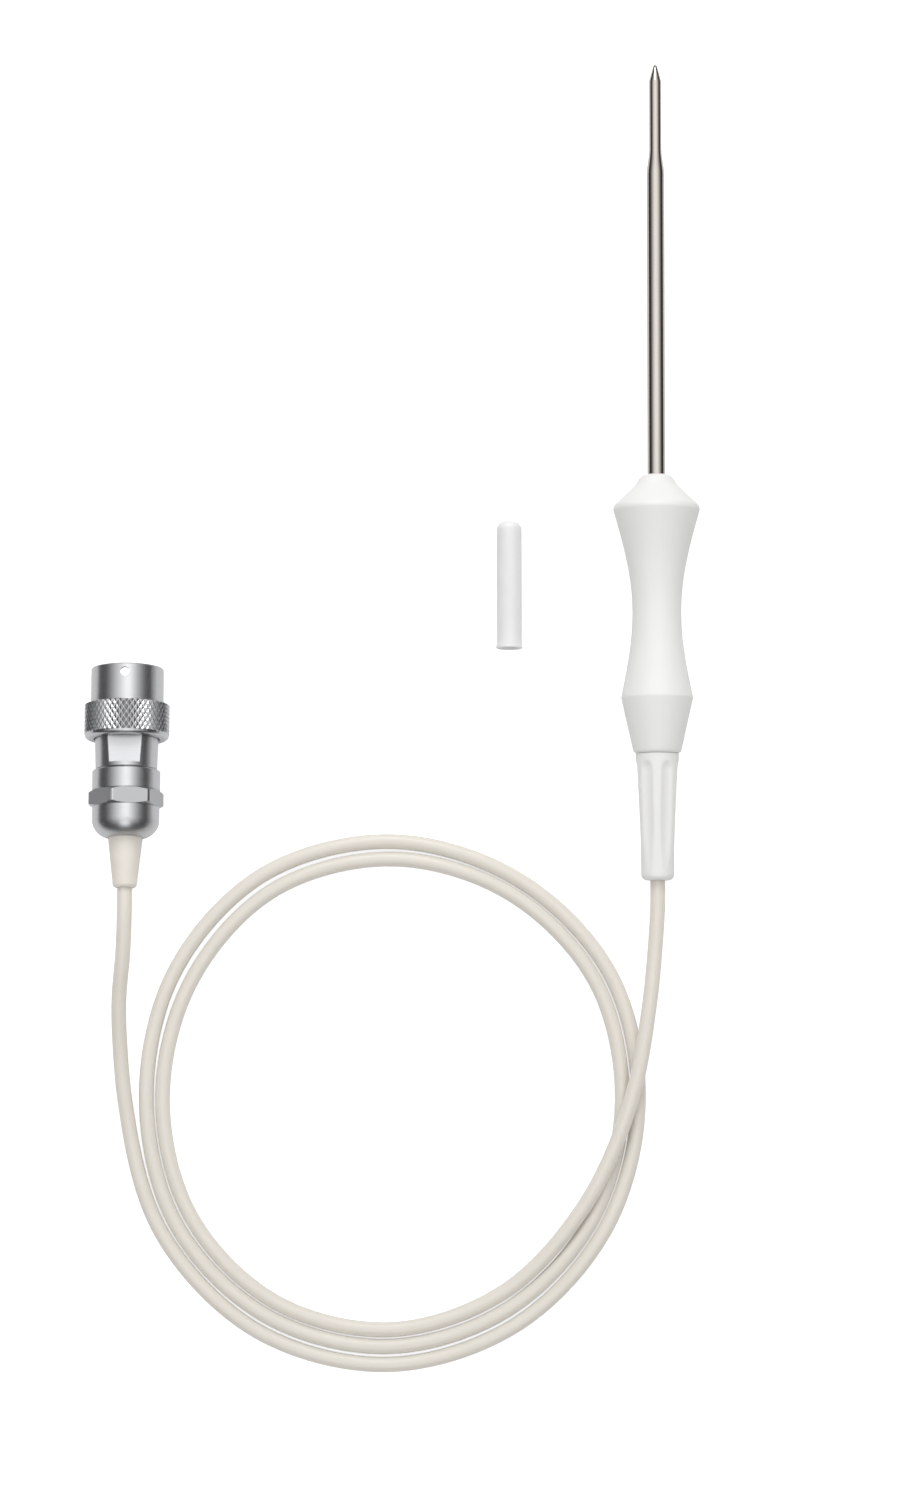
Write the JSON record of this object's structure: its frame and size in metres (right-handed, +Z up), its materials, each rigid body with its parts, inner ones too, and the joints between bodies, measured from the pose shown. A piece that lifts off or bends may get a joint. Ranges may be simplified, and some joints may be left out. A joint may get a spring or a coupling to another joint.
{
  "type": "thermocouple probe",
  "caption": "Handheld penetration temperature probe with a white grip, fluted strain relief, looped cable, bayonet plug with a turning knurled ring, and a loose tip cap.",
  "frame": {"origin": "on the surface that the probe lies on, under the middle of the box round the probe and its tip cap, without the cable and plug", "axes": "+Y along the probe towards its point, +X to the right seen from above, +Z up"},
  "size_m": [0.1705, 0.3628, 0.0241],
  "materials": {
    "polished_stainless": "polished stainless steel",
    "satin_nickel": "satin nickel plating",
    "thermocouple_alloy": "drawn alloy wire",
    "tinned_copper": "tinned",
    "gilt_contact": "gilt",
    "white_moulding": "fine satin moulding",
    "ivory_moulding": "satin moulding",
    "cable_jacket": "smooth, slightly glossy off-white jacket",
    "soft_cap": "soft satin moulding",
    "alumina": "fired ceramic",
    "black_moulding": "matt insulating moulding",
    "black_rubber": "matt rubber"
  },
  "bodies": {
    "probe": {"sheath_tube": "polished_stainless", "junction_bead": "thermocouple_alloy", "tip_insulator": "alumina", "stem_insulator": "alumina", "positive_leg": "thermocouple_alloy", "negative_leg": "thermocouple_alloy", "positive_splice": "tinned_copper", "negative_splice": "tinned_copper", "positive_core": "tinned_copper", "negative_core": "tinned_copper", "handle": "white_moulding", "anchor_sleeve": "polished_stainless", "strain_relief": "white_moulding", "cord": "cable_jacket", "plug_boot": "ivory_moulding", "clamp_nut": "satin_nickel", "clamp_washer": "polished_stainless", "cable_clamp": "black_moulding", "plug_body": "satin_nickel", "retaining_ring": "polished_stainless", "ring_spring": "polished_stainless", "front_gasket": "black_rubber", "contact_insert": "black_moulding", "contact_pin_1": "gilt_contact", "contact_pin_2": "gilt_contact", "contact_pin_3": "gilt_contact", "contact_pin_4": "gilt_contact", "plug_positive_wire": "tinned_copper", "plug_negative_wire": "tinned_copper", "tip_cap": "soft_cap"},
    "coupling": {"coupling_ring": "satin_nickel"}
  },
  "joints": [
    {"name": "coupling_turn", "type": "hinge", "parent": "probe", "child": "coupling", "pos_m": [-0.1304, -0.06565, 0.01174], "axis": [0, 0.9977, -0.068], "continuous": true}
  ]
}
